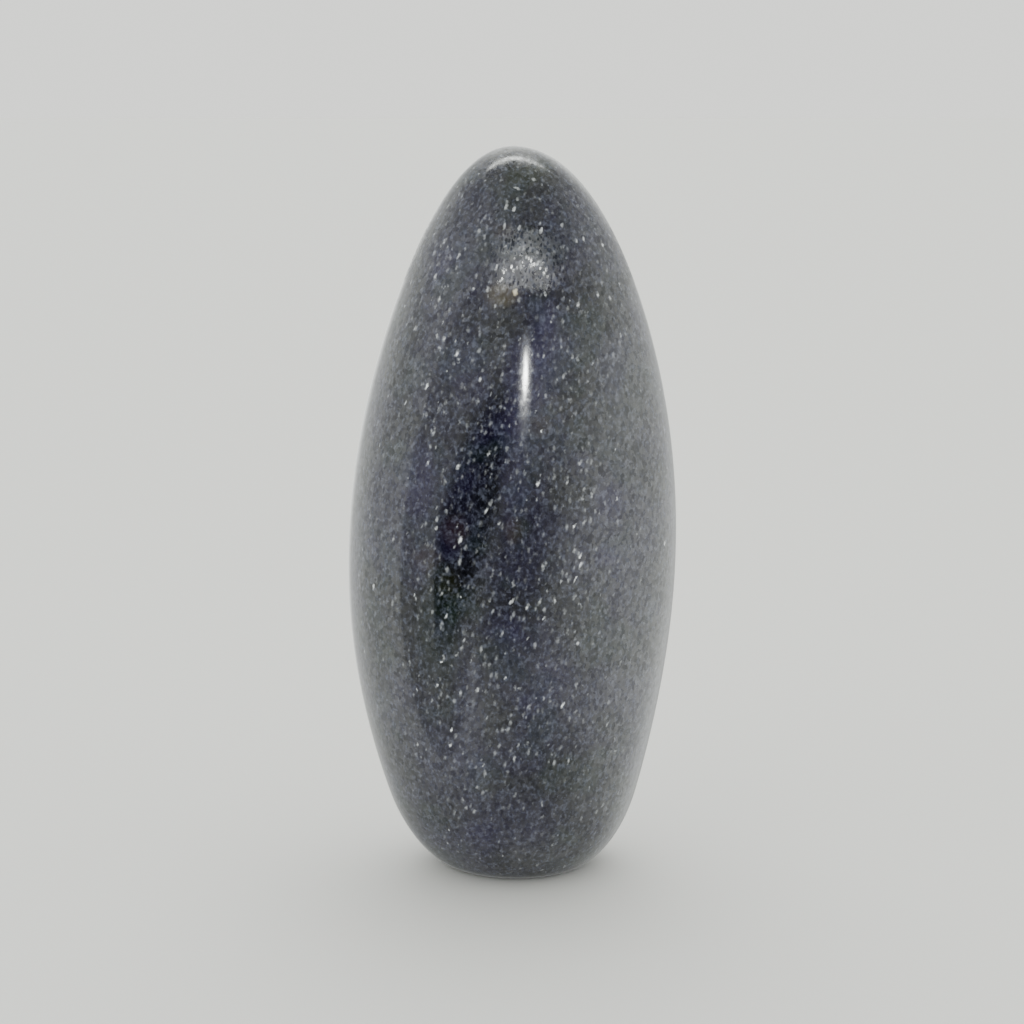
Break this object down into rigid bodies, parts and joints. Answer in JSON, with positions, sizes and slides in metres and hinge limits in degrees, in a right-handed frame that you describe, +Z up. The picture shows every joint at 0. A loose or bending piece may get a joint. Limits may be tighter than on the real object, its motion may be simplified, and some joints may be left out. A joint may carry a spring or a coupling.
{
  "type": "polished lazulite freeform",
  "caption": "Upright egg-like display stone of dark blue-grey lazulite rock, polished all over, standing on a small ground flat.",
  "frame": {"origin": "middle of the stone's box, on the ground flat it stands on", "axes": "+Z up the length of the stone, -Y out of its broad front, +X to the right seen from the front"},
  "size_m": [0.0506, 0.0392, 0.112],
  "materials": {
    "polished_lazulite": "glassy polish over dark blue-grey grained rock with small pale flecks"
  },
  "bodies": {
    "root": {"lazulite_stone": "polished_lazulite"}
  },
  "joints": []
}
